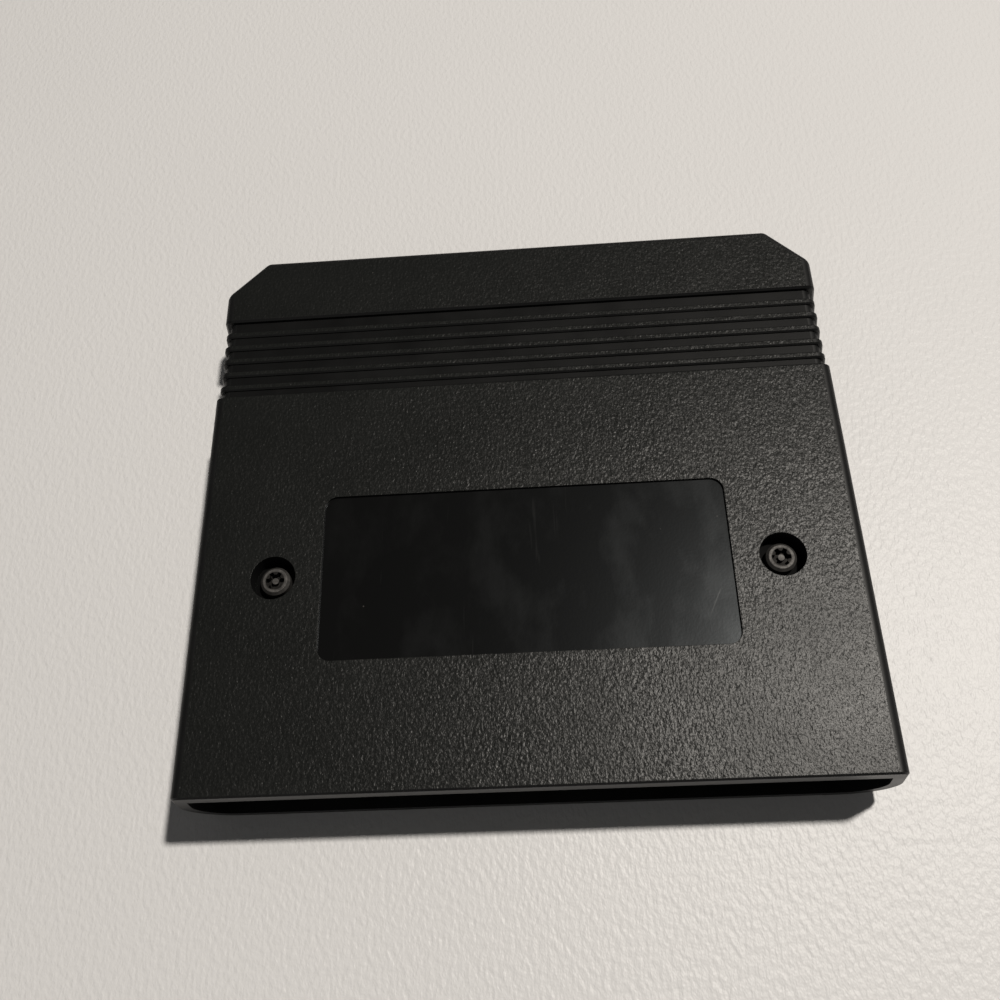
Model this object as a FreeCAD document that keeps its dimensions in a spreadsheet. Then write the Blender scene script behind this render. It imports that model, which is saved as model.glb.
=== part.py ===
import FreeCAD, Part
import math
import os
import re

import Sketcher

# Millimetres. The object lies on its front face: X across, Y from the mouth to the end bar, Z from front to rear.
SIZES = {
    # Casing
    "case_width": 113.4,
    "side_lean": 1.35,
    "body_length": 71.7,
    "cap_length": 13.75,
    "corner_cut": 8.7,
    "corner_round": 1.5,
    "end_radius": 1.0,
    "front_depth": 9.0,
    "front_land": 0.8,
    "wall": 2.2,
    "front_room": 5.5,
    "rear_room": 5.5,
    "edge_radius": 1.7,
    "rim_bevel": 0.4,
    "mouth_bevel": 0.3,
    "mouth_lip": 1.1,
    "mouth_lip_length": 2.5,
    # Grip band
    "rib_count": 5,
    "rib_pitch": 2.94,
    "rib_lead": 2.0,
    "rib_trail": 2.7,
    "rib_width": 1.3,
    "rib_height": 0.5,
    "rib_bevel": 0.3,
    "band_depth": 0.9,
    # Bare panel on the rear and bare recess on the front
    "panel_margin": 22.8,
    "panel_start": 20.8,
    "panel_length": 29.1,
    "panel_depth": 0.45,
    "panel_corner": 2.2,
    "recess_margin": 13.7,
    "recess_start": 6.0,
    "recess_length": 58.0,
    "recess_depth": 0.4,
    "recess_corner": 2.5,
    # Screws and the bosses that take them
    "screw_inset": 14.7,
    "screw_rise": 35.5,
    "well_diameter": 7.6,
    "head_sink": 1.3,
    "head_diameter": 5.0,
    "head_height": 2.0,
    "head_bevel": 0.45,
    "shank_diameter": 2.9,
    "shank_length": 9.0,
    "shank_point": 0.5,
    "shank_gap": 0.25,
    "thread_gap": 0.05,
    "tip_gap": 0.6,
    "drive_depth": 1.2,
    "drive_root": 2.2,
    "drive_tip": 3.2,
    "drive_pin": 1.1,
    "drive_pin_drop": 0.35,
    "boss_wall": 1.7,
    "shoulder_diameter": 9.0,
    "neck_diameter": 6.0,
    "neck_rise": 1.3,
    "neck_gap": 0.15,
    "clamp_gap": 0.1,
    # Tabs and hooks that line the shells up
    "tab_start": 38.0,
    "tab_length": 28.0,
    "tab_thickness": 1.5,
    "tab_reach": 1.8,
    "tab_root": 3.0,
    "tab_gap": 0.3,
    "hook_spread": 44.0,
    "hook_width": 8.0,
    "hook_thickness": 1.6,
    "hook_reach": 4.0,
    "hook_nib": 0.9,
    "hook_lip": 1.2,
    "hook_gap": 0.2,
    # Circuit board
    "board_thickness": 1.6,
    "board_setback": 5.0,
    "board_length": 50.0,
    "board_side_gap": 3.7,
    "board_hole_gap": 0.25,
    "tongue_length": 12.0,
    "tongue_margin": 1.3,
    "edge_bevel": 0.4,
    "ledge_start": 22.0,
    "ledge_length": 8.0,
    "ledge_bearing": 2.0,
    "post_inset": 18.7,
    "post_setback": 3.5,
    "post_width": 4.0,
    # Contacts of the card edge
    "contact_count": 32,
    "contact_pitch": 2.54,
    "contact_width": 1.6,
    "contact_length": 9.0,
    "contact_inset": 0.7,
    "contact_thickness": 0.1,
    # Memory chip
    "chip_rise": 31.0,
    "chip_length": 54.0,
    "chip_width": 13.6,
    "chip_standoff": 0.7,
    "chip_headroom": 1.0,
    "chip_notch": 2.4,
    "chip_draft": 0.35,
    "pin_count": 21,
    "pin_pitch": 2.54,
    "pin_row": 15.24,
    "pin_width": 0.5,
    "pin_thickness": 0.28,
    "pin_tail": 1.0,
    "pin_hole_gap": 0.2,
    # Ceramic capacitors
    "ceramic_offset": 4.5,
    "ceramic_shift": 6.0,
    "ceramic_width": 5.2,
    "ceramic_depth": 2.6,
    "ceramic_height": 3.4,
    "ceramic_lift": 0.6,
    "ceramic_round": 0.8,
    "ceramic_pitch": 3.0,
    # Reservoir capacitor
    "can_offset": 22.0,
    "can_setback": 4.0,
    "can_diameter": 4.0,
    "can_length": 7.0,
    "can_crimp": 0.3,
    "can_lift": 0.1,
    "seal_depth": 0.5,
    "seal_wall": 0.35,
    "wire_pitch": 1.5,
    "wire_width": 0.5,
    "wire_run": 1.5,
    "wire_tail": 1.0,
}

# Sizes that follow from others
HALF = "(case_width / 2)"
BAND = "(rib_lead + (rib_count - 1) * rib_pitch + rib_trail)"
LENGTH = f"(body_length + {BAND} + cap_length)"
THICK = "(2 * wall + front_room + board_thickness + rear_room)"
RADIUS = "(front_depth - front_land)"
LEAN = f"(side_lean / ({THICK} - front_depth))"
BOARD_LOW = "(wall + front_room)"
BOARD_TOP = f"({BOARD_LOW} + board_thickness)"
SCREW_X = f"({HALF} - screw_inset)"
HEAD_SEAT = f"({THICK} - head_sink - head_height)"
BOSS_END = f"({BOARD_TOP} + clamp_gap)"
NECK_TOP = f"({BOARD_TOP} + neck_rise)"
TONGUE = "(contact_count * contact_pitch / 2 + tongue_margin)"
HEAD_TOP = f"({THICK} - head_sink)"
CHIP_LOW = f"({BOARD_TOP} + chip_standoff)"
CHIP_TOP = f"({THICK} - wall - chip_headroom)"
PIN_LOW = f"(({CHIP_LOW} + {CHIP_TOP} - pin_thickness) / 2)"
PIN_TOP = f"(({CHIP_LOW} + {CHIP_TOP} + pin_thickness) / 2)"
FIRST_PIN = "(-(pin_count - 1) * pin_pitch / 2)"
CERAMIC_X = "(chip_length / 2 + ceramic_offset)"
CERAMIC_LOW = f"({BOARD_TOP} + ceramic_lift)"
CAN_Z = f"({BOARD_TOP} + can_lift + can_diameter / 2)"
SLACK = "1"
# One lobe of the screw's drive: diameter and turn in degrees at each corner
LOBE = (("drive_root", -20), ("drive_tip", -12), ("drive_tip", 12), ("drive_root", 20))

doc = FreeCAD.newDocument("game_cartridge")
sheet = doc.addObject("Spreadsheet::Sheet", "Sizes")
for row, (name, number) in enumerate(SIZES.items(), 1):
    sheet.set(f"A{row}", name)
    sheet.set(f"B{row}", str(number))
    sheet.setAlias(f"B{row}", name)
doc.recompute()


def ref(text):
    """The expression with each size's name pointing at its cell."""
    return re.sub(r"[a-z_]+", lambda m: f"Sizes.{m[0]}" if m[0] in SIZES else m[0], text)


def value(text):
    return float(sheet.evalExpression(ref(text)))


def along(text):
    """Y of a place given by its distance from the mouth."""
    return f"({text} - {LENGTH} / 2)"


SCREW_Y = along("screw_rise")
CHIP_Y = along("chip_rise")
CERAMIC_Y = along("(chip_rise - ceramic_shift)")
CAN_Y = along("(board_setback + board_length - can_setback)")


def new_body(name):
    return doc.addObject("PartDesign::Body", name)


def origin(body, role):
    return [item for item in body.Origin.OriginFeatures if item.Role == role][0]


def sketch(body, name, role, offset, shift_x="0", shift_y="0"):
    drawn = body.newObject("Sketcher::SketchObject", name)
    drawn.AttachmentSupport = [(origin(body, role), "")]
    drawn.MapMode = "FlatFace"
    for axis, shift in (("x", shift_x), ("y", shift_y), ("z", offset)):
        drawn.setExpression(f"AttachmentOffset.Base.{axis}", ref(shift))
    return drawn


def bind(drawn, kind, geometry, text):
    """A dimension of the sketch, driven by an expression."""
    index = drawn.addConstraint(Sketcher.Constraint(kind, *geometry, value(text)))
    drawn.setExpression(f"Constraints[{index}]", ref(text))


def place(drawn, geometry, point, x, y):
    bind(drawn, "DistanceX", (-1, 1, geometry, point), x)
    bind(drawn, "DistanceY", (-1, 1, geometry, point), y)


def outline(drawn, points):
    """A closed loop. Each point is (x, y), or (x, y, centre x, centre y) where an arc leads to it."""
    spots = [(value(p[0]), value(p[1])) for p in points]
    ends = []
    for i, point in enumerate(points):
        (x1, y1), (x2, y2) = spots[i - 1], spots[i]
        if len(point) == 2:
            line = Part.LineSegment(FreeCAD.Vector(x1, y1, 0), FreeCAD.Vector(x2, y2, 0))
            ends.append((drawn.addGeometry(line), 1, 2))
            continue
        cx, cy = value(point[2]), value(point[3])
        circle = Part.Circle(FreeCAD.Vector(cx, cy, 0), FreeCAD.Vector(0, 0, 1), math.hypot(x2 - cx, y2 - cy))
        first, last = math.atan2(y1 - cy, x1 - cx), math.atan2(y2 - cy, x2 - cx)
        turns_left = (last - first) % (2 * math.pi) < math.pi
        if turns_left:
            ends.append((drawn.addGeometry(Part.ArcOfCircle(circle, first, last)), 1, 2))
        else:
            ends.append((drawn.addGeometry(Part.ArcOfCircle(circle, last, first)), 2, 1))
    for i, (geometry, start, end) in enumerate(ends):
        follower, follower_start, _ = ends[(i + 1) % len(ends)]
        drawn.addConstraint(Sketcher.Constraint("Coincident", geometry, end, follower, follower_start))
        place(drawn, geometry, end, points[i][0], points[i][1])
        if len(points[i]) == 4:
            bind(drawn, "DistanceX", (-1, 1, geometry, 3), points[i][2])


def rectangle(drawn, x1, x2, y1, y2):
    outline(drawn, [(x1, y1), (x2, y1), (x2, y2), (x1, y2)])


def rounded_rectangle(drawn, half, y1, y2, corner):
    inner = f"({half} - {corner})"
    low, high = f"({y1} + {corner})", f"({y2} - {corner})"
    outline(drawn, [
        (inner, y1), (half, low, inner, low), (half, high), (inner, y2, inner, high),
        (f"-{inner}", y2), (f"-{half}", high, f"-{inner}", high), (f"-{half}", low),
        (f"-{inner}", y1, f"-{inner}", low),
    ])


def circle(drawn, x, y, diameter):
    ring = Part.Circle(FreeCAD.Vector(value(x), value(y), 0), FreeCAD.Vector(0, 0, 1), value(diameter) / 2)
    geometry = drawn.addGeometry(ring)
    place(drawn, geometry, 3, x, y)
    bind(drawn, "Diameter", (geometry,), diameter)


def square(drawn, x, y, width):
    rectangle(drawn, f"({x} - {width} / 2)", f"({x} + {width} / 2)", f"({y} - {width} / 2)", f"({y} + {width} / 2)")


def pair(drawn, x, y, diameter):
    circle(drawn, x, y, diameter)
    circle(drawn, f"-{x}", y, diameter)


def grow(body, kind, name, drawn, length, reverse):
    feature = body.newObject(f"PartDesign::{kind}", name)
    feature.Profile = drawn
    feature.setExpression("Length", ref(length))
    feature.Reversed = reverse
    drawn.Visibility = False
    return feature


def pad(body, name, drawn, length, reverse=False):
    return grow(body, "Pad", name, drawn, length, reverse)


def pocket(body, name, drawn, length, reverse=False):
    return grow(body, "Pocket", name, drawn, length, reverse)


def row_of(body, name, feature, role, count, pitch):
    pattern = body.newObject("PartDesign::LinearPattern", name)
    pattern.Originals = [feature]
    pattern.Direction = (origin(body, role), [""])
    pattern.setExpression("Length", ref(f"({count} - 1) * {pitch}"))
    pattern.setExpression("Occurrences", ref(count))
    body.Tip = pattern
    return pattern


def mirrored(body, name, features, role):
    copy = body.newObject("PartDesign::Mirrored", name)
    copy.Originals = features
    copy.MirrorPlane = (origin(body, role), [""])
    body.Tip = copy
    return copy


def dress(body, kind, name, test, size, radius):
    """A fillet or chamfer on the edges that pass a test."""
    doc.recompute()
    base = body.Tip
    names = [f"Edge{i}" for i, edge in enumerate(base.Shape.Edges, 1) if test(edge)]
    feature = body.newObject(f"PartDesign::{kind}", name)
    feature.Base = (base, names)
    feature.setExpression(size, ref(radius))
    return feature


def near(a, b):
    return abs(a - b) < 1e-4


def front_length(body, name, inset, start, length, top):
    """A length of the front casing, its section set in from the outer face."""
    drawn = sketch(body, f"{name}_section", "XZ_Plane", f"-{along(start)}")
    side = f"({HALF} - {inset})"
    turn = f"({HALF} - {RADIUS})"
    outline(drawn, [
        (f"-{side}", RADIUS), (f"-{turn}", inset, f"-{turn}", RADIUS), (turn, inset),
        (side, RADIUS, turn, RADIUS), (side, top), (f"-{side}", top),
    ])
    return pad(body, name, drawn, length, reverse=True)


def rear_length(body, name, inset, start, length, low):
    """A length of the rear casing with its leaning sides, its section set in from the outer face."""
    drawn = sketch(body, f"{name}_section", "XZ_Plane", f"-{along(start)}")
    slant = f"sqrt(1 + {LEAN} * {LEAN})"
    roof = f"({THICK} - {inset})"
    rise = f"({roof} - edge_radius)"
    foot = f"({HALF} - {inset} - {LEAN} * ({low} - front_depth))"
    turn = f"({HALF} - {inset} - {LEAN} * ({rise} - front_depth) - edge_radius * {slant})"
    side = f"({turn} + edge_radius / {slant})"
    shoulder = f"({rise} + edge_radius * {LEAN} / {slant})"
    outline(drawn, [
        (f"-{foot}", low), (foot, low), (side, shoulder), (turn, roof, turn, rise),
        (f"-{turn}", roof), (f"-{side}", shoulder, f"-{turn}", rise),
    ])
    return pad(body, name, drawn, length, reverse=True)


def cut_corners(body, name, inset):
    """The two corners of the end bar, cut at 45 degrees, set in from the outer face."""
    drawn = sketch(body, f"{name}_outline", "XY_Plane", "0")
    side, end = f"({HALF} - {inset})", f"({LENGTH} / 2 - {inset})"
    cut = f"(corner_cut - (2 - sqrt(2)) * {inset})"
    for sign in ("", "-"):
        outline(drawn, [
            (f"{sign}({side} - {cut} - {SLACK})", f"({end} + {SLACK})"),
            (f"{sign}({side} + {SLACK})", f"({end} - {cut} - {SLACK})"),
            (f"{sign}({side} + {SLACK})", f"({end} + {SLACK})"),
        ])
    return pocket(body, name, drawn, f"({THICK} + {SLACK})", reverse=True)


def casing(body, prefix, length_of, edge):
    """The outside of one half: body, sunk grip band with its ribs, and end bar with cut corners."""
    length_of(body, f"{prefix}_body", "0", "0", "body_length", edge)
    length_of(body, f"{prefix}_band", "band_depth", "body_length", BAND, edge)
    length_of(body, f"{prefix}_cap", "0", f"(body_length + {BAND})", "cap_length", edge)
    cut_corners(body, f"{prefix}_corners", "0")
    rib_start = "(body_length + rib_lead - rib_width / 2)"
    rib = length_of(body, f"{prefix}_rib", "(band_depth - rib_height)", rib_start, "rib_width", edge)
    row_of(body, f"{prefix}_ribs", rib, "Y_Axis", "rib_count", "rib_pitch")
    doc.recompute()


def hollow(body, prefix, length_of, edge):
    """The room inside, open at the mouth and at the parting line."""
    room = new_body(f"{prefix}_room")
    length_of(room, f"{prefix}_room_length", "wall", f"(-{SLACK})", f"({LENGTH} - wall + {SLACK})", edge)
    cut_corners(room, f"{prefix}_room_corners", "wall")
    cut = body.newObject("PartDesign::Boolean", f"{prefix}_hollow")
    cut.Type = "Cut"
    cut.setObjects([room])
    body.Tip = cut


def on_outside(box, inset):
    """Whether an edge runs round the casing on its outer face, set in by an amount, and off the parting line."""
    side, roof, parting = value(f"{HALF} - {inset}"), value(f"{THICK} - {inset}"), value("front_depth")
    if near(box.ZMin, parting) and near(box.ZMax, parting):
        return False
    return any(near(*ends) for ends in (
        (box.XMax, side), (box.XMin, -side), (box.ZMax, roof), (box.ZMin, value(inset))))


def bevel_at(body, name, inset, places, size):
    """Bevelled outer edges where the casing is cut across at these distances from the mouth."""
    levels = [value(along(text)) for text in places]

    def chosen(edge):
        box = edge.BoundBox
        across = any(near(box.YMin, y) and near(box.YMax, y) for y in levels)
        return across and on_outside(box, inset)

    dress(body, "Chamfer", name, chosen, "Size", size)


def round_end(body, prefix):
    """Rounded corners and edges along the end bar's far side."""
    end, corner = value(f"{LENGTH} / 2"), value(f"{HALF} - corner_cut")

    def on_corner(edge):
        box = edge.BoundBox
        upright = box.XLength < 1e-4 and near(box.YMin, end)
        return upright and near(abs(box.XMin), corner)

    def on_end(edge):
        box = edge.BoundBox
        across = near(box.YMin, end) and near(box.YMax, end)
        return across and on_outside(box, "0")

    dress(body, "Fillet", f"{prefix}_end_corners", on_corner, "Radius", "corner_round")
    dress(body, "Fillet", f"{prefix}_end_edges", on_end, "Radius", "end_radius")


def soften(body, prefix):
    """Softer outer edges on the body, the end bar and the ribs."""
    ribs = [f"(body_length + rib_lead + {i} * rib_pitch)" for i in range(int(value("rib_count")))]
    sides = [f"({rib} {sign} rib_width / 2)" for rib in ribs for sign in "-+"]
    bevel_at(body, f"{prefix}_mouth_edge", "0", ["0"], "mouth_bevel")
    bevel_at(body, f"{prefix}_rims", "0", ["body_length", f"(body_length + {BAND})"], "rim_bevel")
    bevel_at(body, f"{prefix}_rib_edges", "(band_depth - rib_height)", sides, "rib_bevel")
    round_end(body, prefix)


def make_rear_shell():
    body = new_body("rear_shell")
    casing(body, "rear", rear_length, "front_depth")
    soften(body, "rear")
    hollow(body, "rear", rear_length, f"(front_depth - {SLACK})")
    panel = sketch(body, "panel_outline", "XY_Plane", THICK)
    panel_end = along("(panel_start + panel_length)")
    rounded_rectangle(panel, f"({HALF} - panel_margin)", along("panel_start"), panel_end, "panel_corner")
    pocket(body, "panel", panel, "panel_depth")
    lip = sketch(body, "mouth_lip_section", "XZ_Plane", f"-{along('0')}")
    side = f"({HALF} - wall)"
    rectangle(lip, f"-{side}", side, f"({THICK} - wall - mouth_lip)", f"({THICK} - wall / 2)")
    pad(body, "mouth_lip", lip, "mouth_lip_length", reverse=True)

    boss = sketch(body, "boss_outline", "XY_Plane", BOSS_END)
    pair(boss, SCREW_X, SCREW_Y, "(well_diameter + 2 * boss_wall)")
    pad(body, "bosses", boss, f"({THICK} - wall / 2 - {BOSS_END})")
    socket = sketch(body, "socket_outline", "XY_Plane", BOSS_END)
    pair(socket, SCREW_X, SCREW_Y, "(neck_diameter + 2 * neck_gap)")
    pocket(body, "sockets", socket, f"({NECK_TOP} + neck_gap - {BOSS_END})", reverse=True)
    well = sketch(body, "well_outline", "XY_Plane", THICK)
    pair(well, SCREW_X, SCREW_Y, "well_diameter")
    pocket(body, "wells", well, "(head_sink + head_height)")
    hole = sketch(body, "hole_outline", "XY_Plane", THICK)
    pair(hole, SCREW_X, SCREW_Y, "(shank_diameter + 2 * shank_gap)")
    pocket(body, "holes", hole, f"({THICK} - {BOSS_END})")

    face, inner = f"({HALF} - wall)", f"({HALF} - wall - tab_thickness)"
    outer = f"({HALF} - wall - tab_gap)"
    low, high = "(front_depth - tab_reach)", "(front_depth + tab_root)"
    tab = sketch(body, "tab_section", "XZ_Plane", f"-{along('tab_start')}")
    outline(tab, [
        (inner, low), (outer, low), (outer, "front_depth"),
        (f"({face} + wall / 2)", "front_depth"), (f"({face} + wall / 2)", high), (inner, high),
    ])
    mirrored(body, "tabs", [pad(body, "tab", tab, "tab_length", reverse=True)], "YZ_Plane")

    face, inner = f"({LENGTH} / 2 - wall)", f"({LENGTH} / 2 - wall - hook_thickness)"
    outer = f"({LENGTH} / 2 - wall - tab_gap)"
    low, lip = "(front_depth - hook_reach)", "(front_depth - hook_reach + hook_lip)"
    hook = sketch(body, "hook_section", "YZ_Plane", "(hook_spread - hook_width) / 2")
    outline(hook, [
        (inner, low), (f"({face} + hook_nib)", low), (f"({face} + hook_nib)", lip), (outer, lip),
        (outer, "front_depth"), (f"({face} + wall / 2)", "front_depth"),
        (f"({face} + wall / 2)", high), (inner, high),
    ])
    mirrored(body, "hooks", [pad(body, "hook", hook, "hook_width")], "YZ_Plane")
    return body


def make_front_shell():
    body = new_body("front_shell")
    casing(body, "front", front_length, "front_depth")
    soften(body, "front")
    hollow(body, "front", front_length, f"(front_depth + {SLACK})")
    recess = sketch(body, "recess_outline", "XY_Plane", "0")
    recess_end = along("(recess_start + recess_length)")
    rounded_rectangle(recess, f"({HALF} - recess_margin)", along("recess_start"), recess_end, "recess_corner")
    pocket(body, "recess", recess, "recess_depth", reverse=True)

    shoulder = sketch(body, "shoulder_outline", "XY_Plane", "wall / 2")
    pair(shoulder, SCREW_X, SCREW_Y, "shoulder_diameter")
    pad(body, "shoulders", shoulder, f"({BOARD_LOW} - wall / 2)")
    neck = sketch(body, "neck_outline", "XY_Plane", "wall / 2")
    pair(neck, SCREW_X, SCREW_Y, "neck_diameter")
    pad(body, "necks", neck, f"({NECK_TOP} - wall / 2)")
    pilot = sketch(body, "pilot_outline", "XY_Plane", NECK_TOP)
    pair(pilot, SCREW_X, SCREW_Y, "(shank_diameter + 2 * thread_gap)")
    pocket(body, "pilots", pilot, f"({NECK_TOP} - {HEAD_SEAT} + shank_length + tip_gap)")

    ledge = sketch(body, "ledge_section", "XZ_Plane", f"-{along('ledge_start')}")
    inner = f"({HALF} - wall - board_side_gap - ledge_bearing)"
    rectangle(ledge, inner, f"({HALF} - wall / 2)", f"({BOARD_LOW} - ledge_bearing)", BOARD_LOW)
    mirrored(body, "ledges", [pad(body, "ledge", ledge, "ledge_length", reverse=True)], "YZ_Plane")
    post = sketch(body, "post_outline", "XY_Plane", "wall / 2")
    post_y = along("(board_setback + board_length - post_setback)")
    square(post, f"({HALF} - post_inset)", post_y, "post_width")
    square(post, f"(post_inset - {HALF})", post_y, "post_width")
    pad(body, "posts", post, f"({BOARD_LOW} - wall / 2)")

    start = "((hook_spread - hook_width) / 2 - hook_gap)"
    catch = sketch(body, "catch_section", "YZ_Plane", start)
    face = f"({LENGTH} / 2 - wall)"
    rectangle(catch, f"({face} - {SLACK})", f"({face} + hook_nib + hook_gap)",
              "(front_depth - hook_reach - hook_gap)", "(front_depth - hook_reach + hook_lip + hook_gap)")
    catch_cut = pocket(body, "catch", catch, "(hook_width + 2 * hook_gap)", reverse=True)
    mirrored(body, "catches", [catch_cut], "YZ_Plane")
    return body


def make_shell_screws():
    """Two pan-head screws with a six-lobe drive and a centre pin."""
    body = new_body("shell_screws")
    shank, head = "(shank_diameter / 2)", "(head_diameter / 2)"
    tip = f"({HEAD_SEAT} - shank_length)"
    shape = sketch(body, "screw_profile", "XZ_Plane", f"-{SCREW_Y}", SCREW_X)
    outline(shape, [
        ("0", tip), (f"({shank} - shank_point)", tip), (shank, f"({tip} + shank_point)"), (shank, HEAD_SEAT),
        (head, HEAD_SEAT), (head, f"({HEAD_TOP} - head_bevel)"), (f"({head} - head_bevel)", HEAD_TOP),
        ("0", HEAD_TOP),
    ])
    turned = body.newObject("PartDesign::Revolution", "screw")
    turned.Profile = shape
    turned.ReferenceAxis = (shape, ["V_Axis"])
    turned.Angle = 360
    lobes = sketch(body, "drive_outline", "XY_Plane", HEAD_TOP)
    corners = [(width, 60 * lobe + turn) for lobe in range(6) for width, turn in LOBE]
    outline(lobes, [
        (f"({SCREW_X} + {width} / 2 * cos({angle} deg))", f"({SCREW_Y} + {width} / 2 * sin({angle} deg))")
        for width, angle in corners])
    circle(lobes, SCREW_X, SCREW_Y, "drive_pin")
    drive = pocket(body, "drive", lobes, "drive_depth")
    pin = sketch(body, "drive_pin_outline", "XY_Plane", HEAD_TOP)
    circle(pin, SCREW_X, SCREW_Y, "((drive_pin + drive_root) / 2)")
    drop = pocket(body, "drive_pin_drop", pin, "drive_pin_drop")
    mirrored(body, "second_screw", [turned, drive, drop], "YZ_Plane")
    return body


def make_circuit_board():
    body = new_body("circuit_board")
    side = f"({HALF} - wall - board_side_gap)"
    shape = sketch(body, "board_outline", "XY_Plane", BOARD_LOW)
    low, shoulder = along("board_setback"), along("(board_setback + tongue_length)")
    high = along("(board_setback + board_length)")
    outline(shape, [
        (f"-{TONGUE}", low), (TONGUE, low), (TONGUE, shoulder), (side, shoulder),
        (side, high), (f"-{side}", high), (f"-{side}", shoulder), (f"-{TONGUE}", shoulder),
    ])
    pad(body, "board", shape, "board_thickness")
    edge_y = value(low)

    def on_card_edge(edge):
        box = edge.BoundBox
        return near(box.YMin, edge_y) and near(box.YMax, edge_y) and box.XLength > 1

    dress(body, "Chamfer", "card_edge", on_card_edge, "Size", "edge_bevel")
    holes = sketch(body, "board_holes", "XY_Plane", BOARD_TOP)
    pair(holes, SCREW_X, SCREW_Y, "(neck_diameter + 2 * board_hole_gap)")
    for x in (CERAMIC_X, f"-{CERAMIC_X}"):
        for sign in "-+":
            square(holes, x, f"({CERAMIC_Y} {sign} ceramic_pitch / 2)", "(wire_width + 2 * pin_hole_gap)")
    for sign in "-+":
        wire_y = f"({CAN_Y} {sign} wire_pitch / 2)"
        square(holes, "(can_offset - wire_run)", wire_y, "(wire_width + 2 * pin_hole_gap)")
    pocket(body, "through_holes", holes, "board_thickness")
    first = sketch(body, "pin_hole_pair", "XY_Plane", BOARD_TOP)
    for sign in "-+":
        square(first, FIRST_PIN, f"({CHIP_Y} {sign} pin_row / 2)", "(pin_width + 2 * pin_hole_gap)")
    pin_holes = pocket(body, "pin_holes", first, "board_thickness")
    row_of(body, "pin_hole_rows", pin_holes, "X_Axis", "pin_count", "pin_pitch")
    return body


def make_contacts(name, level, reverse):
    """The row of contact fingers on one side of the card edge."""
    body = new_body(name)
    shape = sketch(body, f"{name}_outline", "XY_Plane", level)
    start = "(-contact_count * contact_pitch / 2 + (contact_pitch - contact_width) / 2)"
    low = along("(board_setback + contact_inset)")
    rectangle(shape, start, f"({start} + contact_width)", low, f"({low} + contact_length)")
    finger = pad(body, f"{name}_finger", shape, "contact_thickness", reverse)
    row_of(body, f"{name}_row", finger, "X_Axis", "contact_count", "contact_pitch")
    return body


def make_front_contacts():
    return make_contacts("front_contacts", BOARD_LOW, reverse=True)


def make_rear_contacts():
    return make_contacts("rear_contacts", BOARD_TOP, reverse=False)


def make_memory_package():
    body = new_body("memory_package")
    half, taper = "(chip_width / 2)", "(chip_width / 2 - chip_draft)"
    shape = sketch(body, "chip_section", "YZ_Plane", "-chip_length / 2")
    outline(shape, [
        (f"({CHIP_Y} - {taper})", CHIP_LOW), (f"({CHIP_Y} + {taper})", CHIP_LOW),
        (f"({CHIP_Y} + {half})", PIN_LOW), (f"({CHIP_Y} + {half})", PIN_TOP),
        (f"({CHIP_Y} + {taper})", CHIP_TOP), (f"({CHIP_Y} - {taper})", CHIP_TOP),
        (f"({CHIP_Y} - {half})", PIN_TOP), (f"({CHIP_Y} - {half})", PIN_LOW),
    ])
    pad(body, "package", shape, "chip_length")
    notch = sketch(body, "notch_outline", "XY_Plane", CHIP_TOP)
    circle(notch, "(-chip_length / 2)", CHIP_Y, "chip_notch")
    pocket(body, "notch", notch, "chip_notch / 3")
    return body


def make_memory_pins():
    body = new_body("memory_pins")
    shape = sketch(body, "pin_section", "YZ_Plane", f"({FIRST_PIN} - pin_width / 2)")
    for sign in "-+":
        root = f"({CHIP_Y} {sign} chip_width / 2)"
        inner = f"({CHIP_Y} {sign} (pin_row - pin_thickness) / 2)"
        outer = f"({CHIP_Y} {sign} (pin_row + pin_thickness) / 2)"
        tail = f"({BOARD_LOW} - pin_tail)"
        outline(shape, [
            (root, PIN_TOP), (outer, PIN_TOP), (outer, tail), (inner, tail), (inner, PIN_LOW), (root, PIN_LOW)])
    pins = pad(body, "pin_pair", shape, "pin_width")
    row_of(body, "pin_rows", pins, "X_Axis", "pin_count", "pin_pitch")
    return body


def make_ceramic_capacitors():
    body = new_body("ceramic_capacitors")
    shape = sketch(body, "ceramic_section", "YZ_Plane", f"({CERAMIC_X} - ceramic_depth / 2)",
                   CERAMIC_Y, CERAMIC_LOW)
    rounded_rectangle(shape, "(ceramic_width / 2)", "0", "ceramic_height", "ceramic_round")
    mirrored(body, "second_ceramic", [pad(body, "ceramic", shape, "ceramic_depth")], "YZ_Plane")
    return body


def make_ceramic_leads():
    body = new_body("ceramic_leads")
    tail = f"({BOARD_LOW} - wire_tail)"
    shape = sketch(body, "lead_outline", "XY_Plane", tail)
    for x in (CERAMIC_X, f"-{CERAMIC_X}"):
        for sign in "-+":
            square(shape, x, f"({CERAMIC_Y} {sign} ceramic_pitch / 2)", "wire_width")
    pad(body, "leads", shape, f"({CERAMIC_LOW} - {tail})")
    return body


def make_reservoir_can():
    """The sleeved can, turned about its own axis, with a crimp beside the sealed end."""
    body = new_body("reservoir_can")
    edge = "(can_diameter / 2)"
    shape = sketch(body, "can_profile", "XY_Plane", CAN_Z, "0", CAN_Y)
    seal, end = "(can_offset + seal_depth)", "(can_offset + can_length)"
    outline(shape, [
        (seal, "0"), (end, "0"), (end, edge), ("(can_offset + 6 * can_crimp)", edge),
        ("(can_offset + 5 * can_crimp)", f"({edge} - can_crimp)"),
        ("(can_offset + 4 * can_crimp)", edge), ("can_offset", edge),
        ("can_offset", f"({edge} - seal_wall)"), (seal, f"({edge} - seal_wall)"),
    ])
    turned = body.newObject("PartDesign::Revolution", "can")
    turned.Profile = shape
    turned.ReferenceAxis = (shape, ["H_Axis"])
    turned.Angle = 360
    return body


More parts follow.
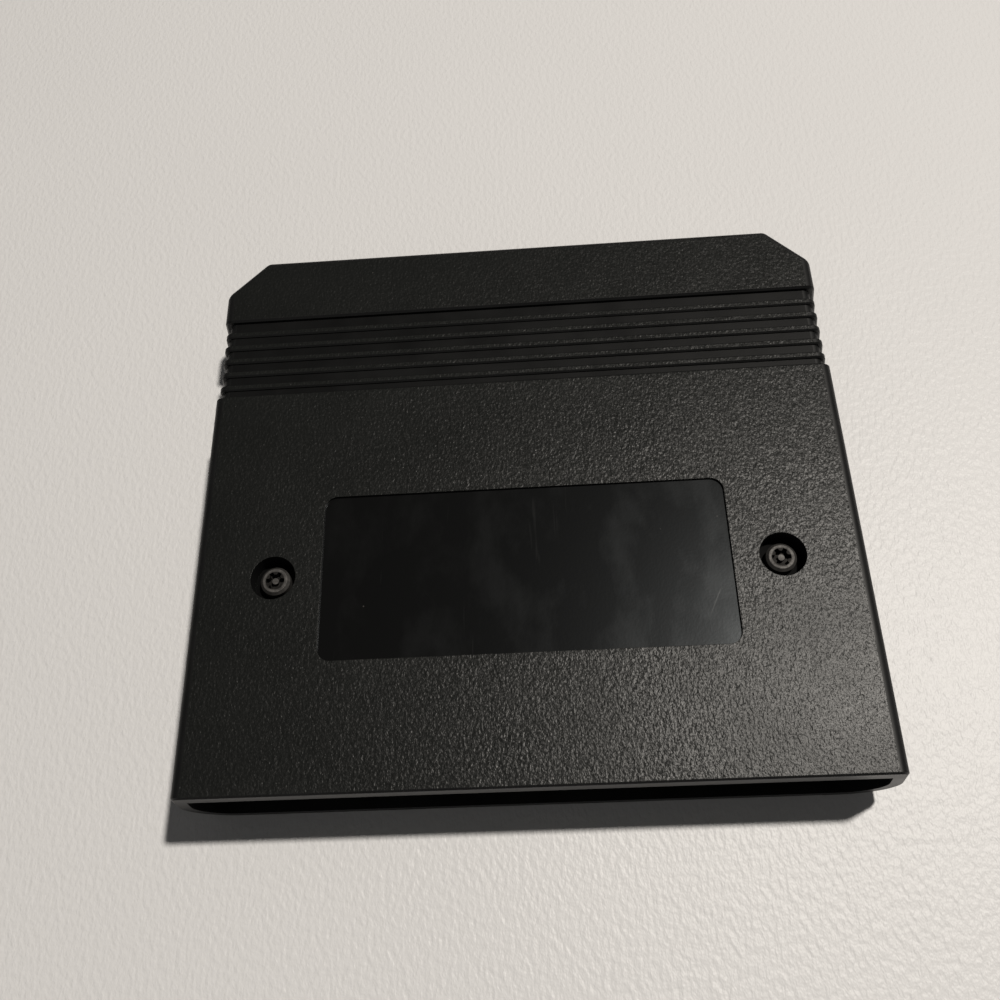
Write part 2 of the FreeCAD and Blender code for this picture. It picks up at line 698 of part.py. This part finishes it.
def make_reservoir_seal():
    body = new_body("reservoir_seal")
    shape = sketch(body, "seal_outline", "YZ_Plane", "can_offset")
    circle(shape, CAN_Y, CAN_Z, "(can_diameter - 2 * seal_wall)")
    pad(body, "seal", shape, "seal_depth")
    return body


def make_reservoir_leads():
    body = new_body("reservoir_leads")
    shape = sketch(body, "wire_section", "XZ_Plane", f"-({CAN_Y} - wire_pitch / 2 - wire_width / 2)")
    inner, outer = "(can_offset - wire_run + wire_width / 2)", "(can_offset - wire_run - wire_width / 2)"
    low, high = f"({CAN_Z} - wire_width / 2)", f"({CAN_Z} + wire_width / 2)"
    tail = f"({BOARD_LOW} - wire_tail)"
    outline(shape, [
        ("can_offset", high), (outer, high), (outer, tail), (inner, tail), (inner, low), ("can_offset", low)])
    wire = pad(body, "wire", shape, "wire_width", reverse=True)
    row_of(body, "wires", wire, "Y_Axis", "2", "wire_pitch")
    return body


MAKERS = (
    make_rear_shell, make_front_shell, make_shell_screws, make_circuit_board,
    make_front_contacts, make_rear_contacts, make_memory_package, make_memory_pins,
    make_ceramic_capacitors, make_ceramic_leads, make_reservoir_can, make_reservoir_seal, make_reservoir_leads,
)
nodes = [make() for make in MAKERS]
doc.recompute()
for item in doc.Objects:
    if "Invalid" in item.State or "Error" in item.State:
        raise RuntimeError(f"{item.Name}: {item.getStatusString()}")
os.makedirs("parts", exist_ok=True)
for node in nodes:
    if node.Shape.isNull() or not node.Shape.isValid() or not node.Shape.Solids:
        raise RuntimeError(f"{node.Name} has no sound solid")
    node.Shape.exportStep(f"parts/{node.Name}.step")
    print(node.Name, len(node.Shape.Solids), round(node.Shape.Volume, 1))
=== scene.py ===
import bpy
from mathutils import Matrix, Vector


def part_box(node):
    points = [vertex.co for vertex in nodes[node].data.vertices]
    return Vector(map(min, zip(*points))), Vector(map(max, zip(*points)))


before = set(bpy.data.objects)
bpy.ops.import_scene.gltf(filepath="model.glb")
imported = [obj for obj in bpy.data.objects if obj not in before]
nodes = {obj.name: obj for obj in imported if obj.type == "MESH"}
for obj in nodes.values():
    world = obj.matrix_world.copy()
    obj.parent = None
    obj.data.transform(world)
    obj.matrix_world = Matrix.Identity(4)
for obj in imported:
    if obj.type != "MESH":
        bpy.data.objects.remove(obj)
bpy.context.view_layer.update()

MM = 0.001
rear_low, rear_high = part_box("rear_shell")
REAR = rear_high.z
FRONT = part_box("front_shell")[0].z
MOUTH = rear_low.y
BAND_START = MOUTH + 71.7 * MM
BAND_END = MOUTH + 88.1 * MM
CONTACT_PITCH = 2.54 * MM
HEAD_RADIUS = 2.5 * MM
screw_low, screw_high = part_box("shell_screws")
SCREW_X = screw_high.x - HEAD_RADIUS
SCREW_Y = (screw_low.y + screw_high.y) / 2
SCRATCH_START = Vector((31.4 * MM, MOUTH + 30.2 * MM, 0))
SCRATCH_END = Vector((28.9 * MM, MOUTH + 25.0 * MM, 0))


# Node helpers

class Graph:
    """A material's nodes, made one call at a time."""

    def __init__(self, name):
        self.material = bpy.data.materials.new(name)
        self.material.use_nodes = True
        self.tree = self.material.node_tree
        self.shader = self.tree.nodes["Principled BSDF"]
        self.place = self.node("ShaderNodeTexCoord").outputs["Object"]
        self.geometry = self.node("ShaderNodeNewGeometry")

    def node(self, kind, **settings):
        made = self.tree.nodes.new(kind)
        for key, setting in settings.items():
            setattr(made, key, setting)
        return made

    def put(self, socket, source):
        """Set a socket to a value, or join it to another node's output."""
        if isinstance(source, bpy.types.NodeSocket):
            self.tree.links.new(source, socket)
        else:
            socket.default_value = source

    def shade(self, **sources):
        """Set the shader's own sockets, named with underscores for blanks."""
        for name, source in sources.items():
            self.put(self.shader.inputs[name.replace("_", " ")], source)

    def math(self, operation, *values):
        made = self.node("ShaderNodeMath", operation=operation)
        for socket, source in zip(made.inputs, values):
            self.put(socket, source)
        return made.outputs[0]

    def vector(self, operation, first, second=None, scale=None):
        made = self.node("ShaderNodeVectorMath", operation=operation)
        self.put(made.inputs[0], first)
        if second is not None:
            self.put(made.inputs[1], second)
        if scale is not None:
            self.put(made.inputs["Scale"], scale)
        return made.outputs["Value" if operation == "DOT_PRODUCT" else "Vector"]

    def parts(self, source):
        """The three components of a vector."""
        made = self.node("ShaderNodeSeparateXYZ")
        self.put(made.inputs[0], source)
        return made.outputs

    def noise(self, size, detail=3.0, roughness=0.5, stretch=None):
        """Noise with blobs about this many metres across, longer where stretch is below 1."""
        place = self.place if stretch is None else self.vector("MULTIPLY", self.place, stretch)
        made = self.node("ShaderNodeTexNoise")
        made.inputs["Scale"].default_value = 1 / size
        made.inputs["Detail"].default_value = detail
        made.inputs["Roughness"].default_value = roughness
        self.put(made.inputs["Vector"], place)
        return made.outputs["Fac"]

    def cells(self, size):
        """Scattered points about this many metres apart, each with a random colour."""
        made = self.node("ShaderNodeTexVoronoi")
        made.inputs["Scale"].default_value = 1 / size
        self.put(made.inputs["Vector"], self.place)
        return made.outputs

    def between(self, source, low, high, to_low=0.0, to_high=1.0):
        """The source's run from low to high, mapped onto another run and held at its ends."""
        made = self.node("ShaderNodeMapRange", clamp=True)
        for socket, value in zip(made.inputs, (source, low, high, to_low, to_high)):
            self.put(socket, value)
        return made.outputs[0]

    def mix(self, factor, first, second):
        made = self.node("ShaderNodeMix", data_type="RGBA")
        self.put(made.inputs["Factor"], factor)
        self.put(made.inputs["A"], first)
        self.put(made.inputs["B"], second)
        return made.outputs["Result"]

    def bump(self, height, depth, normal=None):
        """Bump whose height runs from 0 to 1 over this many metres."""
        made = self.node("ShaderNodeBump")
        made.inputs["Distance"].default_value = depth
        self.put(made.inputs["Height"], height)
        if normal is not None:
            self.put(made.inputs["Normal"], normal)
        return made.outputs["Normal"]

    def rounded(self, radius):
        """The normal with its sharp edges softened over this many metres."""
        made = self.node("ShaderNodeBevel", samples=4)
        made.inputs["Radius"].default_value = radius
        return made.outputs["Normal"]

    def edge(self, rounded):
        """1 along sharp edges and 0 on flat faces, from a softened normal."""
        likeness = self.vector("DOT_PRODUCT", rounded, self.geometry.outputs["Normal"])
        return self.between(likeness, 0.80, 0.995, 1.0, 0.0)

    def sparkle(self, size, tilt, normal):
        """A normal tilted at random, one tilt for each grain of about this many metres."""
        lean = self.vector("SUBTRACT", self.cells(size)["Color"], (0.5, 0.5, 0.5))
        tilted = self.vector("ADD", normal, self.vector("SCALE", lean, scale=tilt))
        return self.vector("NORMALIZE", tilted)

    def specks(self, size, share):
        """Small dots of dust or wear on about this share of the places, 0 to 1."""
        cells = self.cells(size)
        chosen = self.math("GREATER_THAN", self.parts(cells["Color"])[0], 1 - share)
        return self.math("MULTIPLY", chosen, self.between(cells["Distance"], 0.03, 0.09, 1.0, 0.0))

    def scratch(self, start, end):
        """1 along a fine straight mark between two points seen from above, and 0 beside it."""
        run = (end - start).normalized()
        offset = self.vector("SUBTRACT", self.place, start)
        across = self.math("ABSOLUTE", self.vector("DOT_PRODUCT", offset, run.cross((0, 0, 1))))
        along = self.vector("DOT_PRODUCT", offset, run)
        length = (end - start).length
        inside = self.math("MULTIPLY", self.between(along, 0, 0.1 * length),
                           self.between(along, 0.4 * length, length, 1.0, 0.0))
        return self.math("MULTIPLY", inside, self.between(across, 0.04 * MM, 0.13 * MM, 1.0, 0.0))


def grey(level, warmth=0.0):
    """A grey of this level, pushed towards red by a warmth above 0 and towards blue below it."""
    return (level * (1 + warmth), level, level * (1 - warmth), 1)


def dress(name, *materials):
    """Give a CAD node its finished materials."""
    slots = nodes[name].data.materials
    slots.clear()
    for material in materials:
        slots.append(material)


# Materials

def grained_plastic():
    """Black moulded plastic with a spark-eroded grain, worn a little along its edges."""
    g = Graph("grained_plastic")
    cloud = g.noise(16 * MM, detail=4.0)
    soft_edge = g.rounded(0.15 * MM)
    facets = g.sparkle(0.26 * MM, 0.12, soft_edge)
    swell = g.noise(0.42 * MM, detail=2.0, stretch=(1.0, 0.65, 1.0))
    wear = g.math("MULTIPLY", g.edge(soft_edge), g.between(g.noise(3 * MM), 0.45, 0.7))
    colour = g.mix(cloud, (0.0056, 0.0061, 0.0058, 1), (0.0077, 0.0083, 0.0079, 1))
    colour = g.mix(g.math("MULTIPLY", wear, 0.5), colour, grey(0.045, 0.02))
    colour = g.mix(g.math("MULTIPLY", g.specks(1.6 * MM, 0.05), 0.5), colour, grey(0.12, 0.05))
    g.shade(
        Base_Color=colour,
        Roughness=g.between(cloud, 0.3, 0.7, 0.335, 0.38),
        Specular_IOR_Level=0.18,
        Normal=g.bump(swell, 0.084 * MM, facets),
    )
    return g.material


def smooth_plastic(name, level, gloss, roughness):
    """The same plastic off a smooth mould face, with drag marks where it slid out of the mould."""
    g = Graph(name)
    cloud = g.noise(7 * MM, detail=4.0)
    fine = g.noise(0.18 * MM, detail=2.0)
    drag = g.noise(0.5 * MM, detail=3.0, stretch=(1.0, 1.0, 0.12))
    soft_edge = g.rounded(0.12 * MM)
    wear = g.math("MULTIPLY", g.edge(soft_edge), g.between(g.noise(2.2 * MM), 0.42, 0.65))
    colour = g.mix(cloud, grey(0.8 * level, -0.03), grey(1.2 * level, -0.03))
    colour = g.mix(g.math("MULTIPLY", wear, 0.4), colour, grey(6 * level))
    height = g.math("MULTIPLY_ADD", drag, 0.5, fine)
    g.shade(
        Base_Color=colour,
        Roughness=g.between(cloud, 0.3, 0.7, roughness - 0.06, roughness + 0.06),
        Specular_IOR_Level=gloss,
        Normal=g.bump(height, 0.006 * MM, soft_edge),
    )
    return g.material


def panel_plastic():
    """The bare sunk panel: smoother, with rubbed patches, hairlines, a scratch and some dust."""
    g = Graph("panel_plastic")
    smear = g.noise(9 * MM, detail=5.0, roughness=0.6, stretch=(1.0, 0.55, 1.0))
    hairline = g.between(g.noise(0.9 * MM, detail=2.0, stretch=(1.0, 0.06, 1.0)), 0.70, 0.76)
    rub = g.between(smear, 0.48, 0.66)
    colour = g.mix(rub, grey(0.0032), grey(0.0042))
    colour = g.mix(g.math("MULTIPLY", hairline, 0.25), colour, grey(0.02))
    colour = g.mix(g.math("MULTIPLY", g.specks(1.9 * MM, 0.04), 0.4), colour, grey(0.10, 0.05))
    on_rear = g.between(g.parts(g.place)[2], 0.5 * REAR, 0.6 * REAR, 0.0, 0.8)
    scratch = g.math("MULTIPLY", g.scratch(SCRATCH_START, SCRATCH_END), on_rear)
    colour = g.mix(scratch, colour, grey(0.05))
    ripple = g.noise(0.4 * MM, detail=2.0)
    g.shade(
        Base_Color=colour,
        Roughness=g.between(rub, 0.0, 1.0, 0.24, 0.295),
        Specular_IOR_Level=0.15,
        Specular_Tint=(0.88, 0.95, 1.0, 1),
        Normal=g.bump(ripple, 0.004 * MM, g.rounded(0.12 * MM)),
    )
    return g.material


def screw_steel():
    """Dark oiled steel with turning rings round each screw's axis and painted shade in the drive.
    """
    g = Graph("screw_steel")
    x, y, _ = g.parts(g.place)
    across = g.math("SUBTRACT", g.math("ABSOLUTE", x), SCREW_X)
    along = g.math("SUBTRACT", y, SCREW_Y)
    along_squared = g.math("MULTIPLY", along, along)
    radius = g.math("SQRT", g.math("MULTIPLY_ADD", across, across, along_squared))
    rings = g.math("SINE", g.math("MULTIPLY", radius, 40 / MM))
    patina = g.noise(0.8 * MM, detail=5.0, roughness=0.6)
    soft_edge = g.rounded(0.12 * MM)
    colour = g.mix(g.between(patina, 0.35, 0.65), grey(0.06, 0.03), grey(0.11, 0.04))
    colour = g.mix(g.math("MULTIPLY", g.edge(soft_edge), 0.6), colour, grey(0.26, 0.03))
    # Painted shade: the drive socket round the pin is darkened by radius to stand for the shadow
    # in the recess.
    off_pin = g.between(radius, 0.5 * MM, 0.6 * MM)
    in_drive = g.between(radius, 1.5 * MM, 1.75 * MM, 0.9, 0.0)
    painted_drive_shade = g.math("MULTIPLY", off_pin, in_drive)
    g.shade(
        Base_Color=g.mix(painted_drive_shade, colour, grey(0.012, 0.05)),
        Metallic=1.0,
        Roughness=g.between(patina, 0.3, 0.7, 0.72, 0.62),
        Normal=g.bump(g.math("MULTIPLY_ADD", rings, 0.08, patina), 0.012 * MM, soft_edge),
    )
    return g.material


def board_laminate():
    """Green solder mask over traces behind the contacts, with bare laminate at the cut edges."""
    g = Graph("board_laminate")
    x = g.parts(g.place)[0]
    weave = g.cells(0.5 * MM)["Distance"]
    cloud = g.noise(4 * MM, detail=4.0)
    stripe = g.math("PINGPONG", x, CONTACT_PITCH / 2)
    broken = g.between(g.noise(6 * MM, detail=1.0, stretch=(1.0, 0.4, 1.0)), 0.46, 0.50)
    trace = g.math("MULTIPLY", g.between(stripe, 0.30 * MM, 0.38 * MM, 1.0, 0.0), broken)
    mask = g.mix(cloud, (0.010, 0.075, 0.028, 1), (0.016, 0.105, 0.040, 1))
    mask = g.mix(g.math("MULTIPLY", trace, 0.7), mask, (0.030, 0.170, 0.060, 1))
    flat = g.math("ABSOLUTE", g.parts(g.geometry.outputs["Normal"])[2])
    g.shade(
        Base_Color=g.mix(g.between(flat, 0.5, 0.7), (0.42, 0.38, 0.20, 1), mask),
        Roughness=g.between(cloud, 0.3, 0.7, 0.24, 0.36),
        Normal=g.bump(g.math("MULTIPLY_ADD", weave, 0.25, trace), 0.03 * MM),
    )
    return g.material


def contact_gold():
    """Thin gold, wiped along its length by the socket."""
    g = Graph("contact_gold")
    wipe = g.noise(0.22 * MM, detail=3.0, stretch=(1.0, 0.04, 1.0))
    stain = g.noise(2.5 * MM, detail=4.0)
    colour = g.mix(g.between(stain, 0.4, 0.7), (0.86, 0.60, 0.22, 1), (0.66, 0.43, 0.17, 1))
    g.shade(
        Base_Color=g.mix(g.between(wipe, 0.62, 0.74), colour, (0.60, 0.45, 0.26, 1)),
        Metallic=1.0,
        Roughness=g.between(wipe, 0.3, 0.7, 0.20, 0.36),
        Normal=g.bump(wipe, 0.008 * MM),
    )
    return g.material


def chip_resin():
    """Matte moulding resin with a fine grit."""
    g = Graph("chip_resin")
    grit = g.noise(0.15 * MM, detail=3.0)
    cloud = g.noise(3 * MM, detail=3.0)
    soft_edge = g.rounded(0.15 * MM)
    colour = g.mix(cloud, grey(0.020), grey(0.030))
    colour = g.mix(g.math("MULTIPLY", g.edge(soft_edge), 0.5), colour, grey(0.06))
    g.shade(
        Base_Color=colour,
        Roughness=g.between(grit, 0.3, 0.7, 0.48, 0.62),
        Normal=g.bump(grit, 0.02 * MM, soft_edge),
    )
    return g.material


def tinned_metal():
    """Tin-dipped leads, dulled in patches."""
    g = Graph("tinned_metal")
    dull = g.noise(0.6 * MM, detail=4.0)
    runs = g.noise(0.3 * MM, detail=2.0, stretch=(1.0, 1.0, 0.3))
    g.shade(
        Base_Color=g.mix(dull, grey(0.48, 0.02), grey(0.72, 0.01)),
        Metallic=1.0,
        Roughness=g.between(dull, 0.3, 0.7, 0.42, 0.24),
        Normal=g.bump(runs, 0.02 * MM, g.rounded(0.06 * MM)),
    )
    return g.material


def ceramic_coat():
    """The ochre dipped coat of the small capacitors, with sags and pinholes."""
    g = Graph("ceramic_coat")
    sag = g.noise(1.3 * MM, detail=3.0)
    pinholes = g.specks(0.5 * MM, 0.10)
    colour = g.mix(sag, (0.42, 0.20, 0.045, 1), (0.60, 0.31, 0.075, 1))
    g.shade(
        Base_Color=g.mix(g.math("MULTIPLY", pinholes, 0.5), colour, (0.20, 0.09, 0.02, 1)),
        Roughness=g.between(sag, 0.3, 0.7, 0.26, 0.40),
        Normal=g.bump(g.math("SUBTRACT", sag, pinholes), 0.04 * MM, g.rounded(0.25 * MM)),
    )
    return g.material


def can_sleeve():
    """A shrunk sleeve round the can, with the bare aluminium of its closed end."""
    g = Graph("can_sleeve")
    wrinkle = g.noise(0.7 * MM, detail=3.0, stretch=(0.25, 1.0, 1.0))
    brushed = g.noise(0.12 * MM, detail=2.0)
    end = g.between(g.parts(g.geometry.outputs["Normal"])[0], 0.9, 0.95)
    sleeve = g.mix(wrinkle, (0.008, 0.012, 0.045, 1), (0.014, 0.020, 0.070, 1))
    height = g.math("MULTIPLY_ADD", brushed, 0.2, wrinkle)
    g.shade(
        Base_Color=g.mix(end, sleeve, g.mix(brushed, grey(0.60), grey(0.75))),
        Metallic=end,
        Roughness=g.between(wrinkle, 0.3, 0.7, 0.26, 0.38),
        Normal=g.bump(height, 0.02 * MM, g.rounded(0.12 * MM)),
    )
    return g.material


def seal_rubber():
    """The can's rubber bung, dull and slightly bloomed."""
    g = Graph("seal_rubber")
    bloom = g.noise(0.9 * MM, detail=4.0)
    grit = g.noise(0.12 * MM, detail=2.0)
    g.shade(
        Base_Color=g.mix(bloom, grey(0.010), grey(0.022, 0.02)),
        Roughness=g.between(bloom, 0.3, 0.7, 0.62, 0.80),
        Normal=g.bump(grit, 0.015 * MM),
    )
    return g.material


# Finish of each face of the casing

GRAINED, SATIN, PANEL, SUNK, SIDE, WELL_SHADE = range(6)
FLAT = 0.999
SIDEWAYS = 0.4
FACE_DEPTH = 0.1 * MM
PANEL_DEPTH = 0.6 * MM
GROOVE_DEPTH = 2 * MM


def finish_of(face, level, outward, side):
    """Grain on the outer flats and rib tops, one of the smooth finishes on most of the rest, and a
    darker copy as painted shade on the deep screw-well floors.

    level is the height of the shell's outer flat, outward the way it faces along Z, and side
    how far from the middle, in metres, the shell's sides start.
    """
    depth = (level - face.center.z) * outward
    if face.normal.z * outward < FLAT:
        on_side = abs(face.center.x) > side and abs(face.normal.y) < SIDEWAYS
        return SIDE if on_side else SATIN
    if depth > PANEL_DEPTH:
        # Floors deeper than a groove are screw wells: they get the darker finish, painted shade
        # for the recess.
        return WELL_SHADE if depth > GROOVE_DEPTH else SUNK
    on_rib = BAND_START < face.center.y < BAND_END
    return GRAINED if on_rib or depth < FACE_DEPTH else PANEL


casing = (
    grained_plastic(),
    smooth_plastic("satin_plastic", level=0.0064, gloss=0.28, roughness=0.38),
    panel_plastic(),
    smooth_plastic("sunk_plastic", level=0.0040, gloss=0.11, roughness=0.43),
    smooth_plastic("side_plastic", level=0.0055, gloss=0.20, roughness=0.46),
    # A darker, almost glossless copy of the smooth plastic: painted shade for the screw-well
    # floors.
    smooth_plastic("well_shade_plastic", level=0.0026, gloss=0.02, roughness=0.55),
)
shells = (
    ("rear_shell", REAR, 1, 52 * MM),
    ("front_shell", FRONT, -1, 44 * MM),
)
for shell, level, outward, side in shells:
    dress(shell, *casing)
    for face in nodes[shell].data.polygons:
        face.material_index = finish_of(face, level, outward, side)
dress("shell_screws", screw_steel())
dress("circuit_board", board_laminate())
gold = contact_gold()
dress("front_contacts", gold)
dress("rear_contacts", gold)
dress("memory_package", chip_resin())
tinned = tinned_metal()
for name in ("memory_pins", "ceramic_leads", "reservoir_leads"):
    dress(name, tinned)
dress("ceramic_capacitors", ceramic_coat())
dress("reservoir_can", can_sleeve())
dress("reservoir_seal", seal_rubber())


# Table

def table_top():
    """Pale laminate with a fine pebble, drawn out along Y."""
    g = Graph("table_top")
    pebble = g.noise(0.9 * MM, detail=2.0, stretch=(1.0, 0.6, 1.0))
    cloud = g.noise(60 * MM, detail=3.0)
    g.shade(
        Base_Color=g.mix(cloud, (0.590, 0.588, 0.592, 1), (0.610, 0.608, 0.612, 1)),
        Roughness=0.42,
        Specular_IOR_Level=0.24,
        Normal=g.bump(pebble, 0.20 * MM),
    )
    return g.material


TABLE_REACH = 3.0
TABLE_DROP = 0.05 * MM
table_mesh = bpy.data.meshes.new("table")
corners = [Vector((x, y, 0)) * TABLE_REACH for x, y in ((-1, -1), (1, -1), (1, 1), (-1, 1))]
table_mesh.from_pydata(corners, [], [(0, 1, 2, 3)])
table_mesh.materials.append(table_top())
table = bpy.data.objects.new("table", table_mesh)
table.location.z = -TABLE_DROP
bpy.context.scene.collection.objects.link(table)


# Light

def lamp(name, spot, size, power, colour):
    """A soft round lamp at this spot, in metres, that looks at the object."""
    data = bpy.data.lights.new(name, "AREA")
    data.shape = "DISK"
    data.size = size
    data.energy = power
    data.color = colour
    made = bpy.data.objects.new(name, data)
    made.location = spot
    made.rotation_euler = Vector(spot).to_track_quat("Z", "Y").to_euler()
    bpy.context.scene.collection.objects.link(made)


lamp("key", spot=(0.550, 0.325, 1.490), size=0.10, power=29.0, colour=(1.0, 0.945, 0.87))
lamp("fill", spot=(-0.6, -1.0, 1.6), size=1.6, power=1.3, colour=(1.0, 0.98, 0.95))

world = bpy.data.worlds.new("world")
world.use_nodes = True
background = world.node_tree.nodes["Background"]
background.inputs["Color"].default_value = (1.0, 0.98, 0.95, 1)
background.inputs["Strength"].default_value = 0.06
bpy.context.scene.world = world
bpy.context.scene.view_settings.view_transform = "Standard"


# The photograph's camera, fitted to the outline of the rear face

camera_data = bpy.data.cameras.new("camera")
camera_data.sensor_width = 36
camera_data.lens = 36
camera_data.clip_start = 0.01
camera = bpy.data.objects.new("camera", camera_data)
right = Vector((0.99732, -0.02279, -0.06946))
down = Vector((-0.05073, -0.89991, -0.43312))
ahead = Vector((-0.05263, 0.43549, -0.89866))
turn = Matrix((right, -down, -ahead)).transposed()
spot = Vector((5.173 * MM, MOUTH - 26.25 * MM, REAR + 152.68 * MM))
camera.matrix_world = Matrix.Translation(spot) @ turn.to_4x4()
bpy.context.scene.collection.objects.link(camera)
bpy.context.scene.camera = camera
